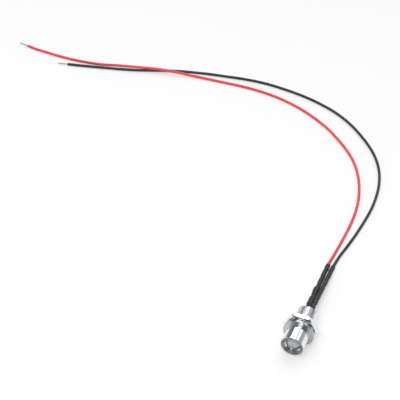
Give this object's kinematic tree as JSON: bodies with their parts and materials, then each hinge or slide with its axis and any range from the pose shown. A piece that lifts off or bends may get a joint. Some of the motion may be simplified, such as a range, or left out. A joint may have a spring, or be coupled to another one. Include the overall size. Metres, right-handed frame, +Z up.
{
  "type": "prewired through-hole led in a metal panel holder",
  "caption": "Clear 5 mm through-hole LED in a chromed metal panel holder with hex nut, with sleeved red and black flying leads that have bare tinned ends.",
  "frame": {"origin": "centre of the panel hole, on the rear face of the holder's flange", "axes": "+Y along the lamp's axis towards its leads, +Z up as the lamp lies on a table, on a flat of its nut and the rim of its flange"},
  "size_m": [0.1674, 0.1359, 0.011],
  "materials": {
    "chromed_brass": "bright chrome plate on turned brass",
    "chromed_nut": "bright nickel or chrome plate",
    "washer_steel": "zinc-plated spring steel",
    "black_bush": "moulded nylon",
    "clear_epoxy": "water-clear cast epoxy",
    "lead_frame": "tinned stamped sheet",
    "chip": "semiconductor chip",
    "bond_gold": "fine gold wire",
    "resistor_coating": "lacquer",
    "tinned_lead": "tinned copper",
    "solder": "solder",
    "shrink_sleeve": "shrunk polyolefin tube",
    "tinned_strands": "tinned copper strands",
    "red_insulation": "extruded PVC",
    "black_insulation": "extruded PVC"
  },
  "bodies": {
    "root": {"bezel_body": "chromed_brass", "star_washer": "washer_steel", "hex_nut": "chromed_nut", "retaining_bush": "black_bush", "led_lens": "clear_epoxy", "cathode_lead": "lead_frame", "anode_lead": "lead_frame", "led_chip": "chip", "bond_wire": "bond_gold", "resistor_body": "resistor_coating", "resistor_caps": "resistor_coating", "resistor_front_lead": "tinned_lead", "resistor_rear_lead": "tinned_lead", "anode_joint": "solder", "red_wire_joint": "solder", "black_wire_joint": "solder", "red_sleeve": "shrink_sleeve", "black_sleeve": "shrink_sleeve", "red_wire_root": "tinned_strands", "black_wire_root": "tinned_strands", "red_wire": "red_insulation", "black_wire": "black_insulation", "red_wire_tip": "tinned_strands", "black_wire_tip": "tinned_strands"}
  },
  "joints": []
}
